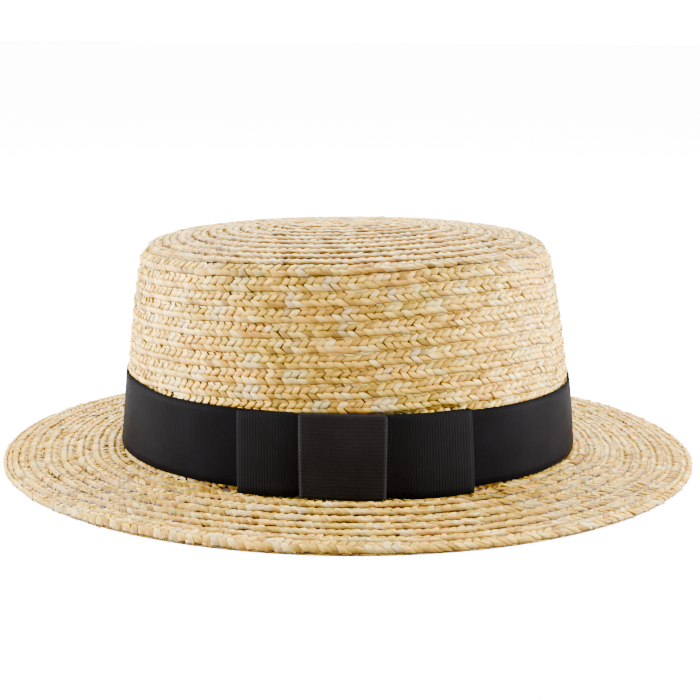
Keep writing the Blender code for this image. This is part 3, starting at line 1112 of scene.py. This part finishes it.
def studio():
    """A white floor and room, soft lights at both sides, behind and above, and the camera."""
    made, tree, shader = new_material("white_sweep")
    shader.inputs["Base Color"].default_value = linear("#e8e8e8")
    shader.inputs["Roughness"].default_value = 0.9
    seen = add_node(tree, "ShaderNodeLightPath").outputs["Is Camera Ray"]
    glow = add_node(
        tree, "ShaderNodeMath", {"operation": "MULTIPLY_ADD"}, {1: SWEEP_GLOW, 2: FLOOR_LIGHT}, {0: seen}
    )
    shader.inputs["Emission Color"].default_value = linear("#ffffff")
    tree.links.new(glow.outputs[0], shader.inputs["Emission Strength"])
    corners = [(x * FLOOR_HALF, y * FLOOR_HALF, 0) for x, y in ((-1, -1), (1, -1), (1, 1), (-1, 1))]
    mesh = bpy.data.meshes.new("floor")
    mesh.from_pydata(corners, [], [(0, 1, 2, 3)])
    mesh.materials.append(made)
    floor = bpy.data.objects.new("floor", mesh)
    bpy.context.scene.collection.objects.link(floor)

    world = bpy.data.worlds.new("studio")
    world.use_nodes = True
    air = world.node_tree
    seen = add_node(air, "ShaderNodeLightPath").outputs["Is Camera Ray"]
    strength = add_node(
        air, "ShaderNodeMath", {"operation": "MULTIPLY_ADD"}, {1: ROOM_GLOW, 2: ROOM_LIGHT}, {0: seen}
    )
    air.nodes["Background"].inputs["Color"].default_value = linear("#ffffff")
    air.links.new(strength.outputs[0], air.nodes["Background"].inputs["Strength"])
    bpy.context.scene.world = world

    for name, place, size, power in SOFTBOXES:
        lamp = bpy.data.lights.new(name, "AREA")
        lamp.shape = "SQUARE"
        lamp.size = size
        lamp.energy = power
        lit = bpy.data.objects.new(name, lamp)
        lit.location = place
        lit.rotation_euler = (Vector((0, 0, 0.05)) - lit.location).to_track_quat("-Z", "Y").to_euler()
        bpy.context.scene.collection.objects.link(lit)

    lens = bpy.data.cameras.new("camera")
    lens.sensor_width = 36.0
    lens.lens = CAMERA_LENS
    camera = bpy.data.objects.new("camera", lens)
    camera.location = CAMERA_PLACE
    camera.rotation_euler = (math.radians(90 - CAMERA_PITCH), 0, 0)
    camera.rotation_euler.rotate_axis("Z", math.radians(CAMERA_ROLL))
    bpy.context.scene.collection.objects.link(camera)
    bpy.context.scene.camera = camera


def lay_plaits():
    """All the plait of the hat, a piece for each stretch of its spirals."""
    crown_straw = wheat_straw("split_wheat_straw_crown", CROWN_GOLD)
    brim_straw = wheat_straw("split_wheat_straw_brim", BRIM_GOLD_AND_PAINTED_LIGHT)
    shapes = bpy.data.collections.new("splint_shapes")
    for row in SPLINT_SHAPES:
        shapes.objects.link(splint_mesh(*row))
    tree = splint_tree()
    tip_turns = WALL_TURNS + TIP_RUN / TIP_PITCH
    wall_turns = (WALL_START, WALL_TURNS + TIP_START)
    crown_turns = (WALL_TURNS + TIP_START, tip_turns - TIP_SHORT)
    edge_turns = (PLAIT_END, PLAIT_END + PLAIT_ROUND)
    lining_turns = (0, tip_turns - LINING_SHORT)
    for name, spot, turns, splints, straw, seed, side in (
        ("crown_wall_plait", crown_spot, wall_turns, SPLINTS, crown_straw, 11, 1),
        ("crown_tip_plait", crown_spot, crown_turns, SPLINTS, crown_straw, 23, 1),
        ("brim_top_plait", brim_spot, BRIM_TURNS, SPLINTS, brim_straw, 37, 1),
        ("brim_edge_plait", edge_spot, edge_turns, SPLINTS, brim_straw, 41, 1),
        ("brim_rim_fold", rim_spot, (0, 1), FOLD_SPLINTS, brim_straw, 43, 1),
        ("crown_inside_plait", crown_inner_spot, lining_turns, INNER_SPLINTS, crown_straw, 53, -1),
        ("brim_under_plait", brim_inner_spot, BRIM_LINING_TURNS, INNER_SPLINTS, brim_straw, 59, -1),
    ):
        lies = (ROW_LOW, ROW_HIGH) if splints == SPLINTS else (INNER_LOW, INNER_HIGH)
        points = row_points(spot, turns, splints, side, *lies)
        sway = FOLD_SWAY if splints == FOLD_SPLINTS else SWAY
        piece = lay_splints(name, points, shapes, tree, straw, seed, sway)
        keep(piece, "brim_straw" if straw == brim_straw else "crown_straw")
    for shape in list(shapes.objects):
        bpy.data.objects.remove(shape)
    bpy.data.collections.remove(shapes)


def tie_ribbon():
    """The band, the loops and the knot, each with a grosgrain material of its own."""
    band_cloth, loop_cloth, knot_cloth = [grosgrain(*row) for row in GROSGRAINS]
    band = keep(ribbon(band_cloth), "ribbon", "hat_band")
    loops = keep(bow_loops(loop_cloth), "bow_ribbon", "bow_loops")
    knot = keep(bow_knot(knot_cloth), "knot_ribbon", "bow_knot")
    ribbon_girth()


def main():
    studio()
    backing = painted_shade_backing("plait_gap_painted_shade")
    keep(crown_shell(backing), "crown_straw", "crown")
    keep(brim_shell(backing), "brim_straw", "brim")
    lay_plaits()
    tie_ribbon()


main()
